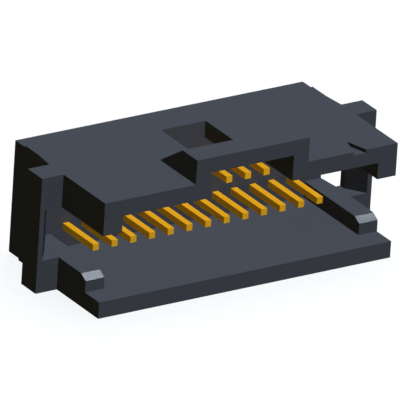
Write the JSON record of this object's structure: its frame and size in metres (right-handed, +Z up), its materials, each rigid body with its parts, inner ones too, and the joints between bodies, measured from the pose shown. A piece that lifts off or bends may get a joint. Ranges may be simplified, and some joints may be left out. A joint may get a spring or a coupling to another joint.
{
  "type": "shrouded pcb header",
  "caption": "Two-row shrouded board header with straight square contacts, open ends with latch ears, a raised key pad and a tail plate over the solder tails.",
  "frame": {"origin": "middle of the housing's flat underside", "axes": "+X along the contact rows, -Y out of the mating side, +Z up through the roof; the tails leave towards +Y"},
  "size_m": [0.0228, 0.0126, 0.0087],
  "materials": {
    "housing_plastic": "moulded, fine matt, near black",
    "plate_plastic": "moulded, fine matt, near black",
    "contact_gold": "gold plated copper alloy, satin"
  },
  "bodies": {
    "root": {"housing": "housing_plastic", "tail_plate": "plate_plastic", "contact_lower_01": "contact_gold", "contact_lower_02": "contact_gold", "contact_lower_03": "contact_gold", "contact_lower_04": "contact_gold", "contact_lower_05": "contact_gold", "contact_lower_06": "contact_gold", "contact_lower_07": "contact_gold", "contact_lower_08": "contact_gold", "contact_lower_09": "contact_gold", "contact_lower_10": "contact_gold", "contact_lower_11": "contact_gold", "contact_lower_12": "contact_gold", "contact_lower_13": "contact_gold", "contact_upper_01": "contact_gold", "contact_upper_02": "contact_gold", "contact_upper_03": "contact_gold", "contact_upper_04": "contact_gold", "contact_upper_05": "contact_gold", "contact_upper_06": "contact_gold", "contact_upper_08": "contact_gold", "contact_upper_09": "contact_gold", "contact_upper_10": "contact_gold", "contact_upper_11": "contact_gold", "contact_upper_12": "contact_gold", "contact_upper_13": "contact_gold"}
  },
  "joints": []
}
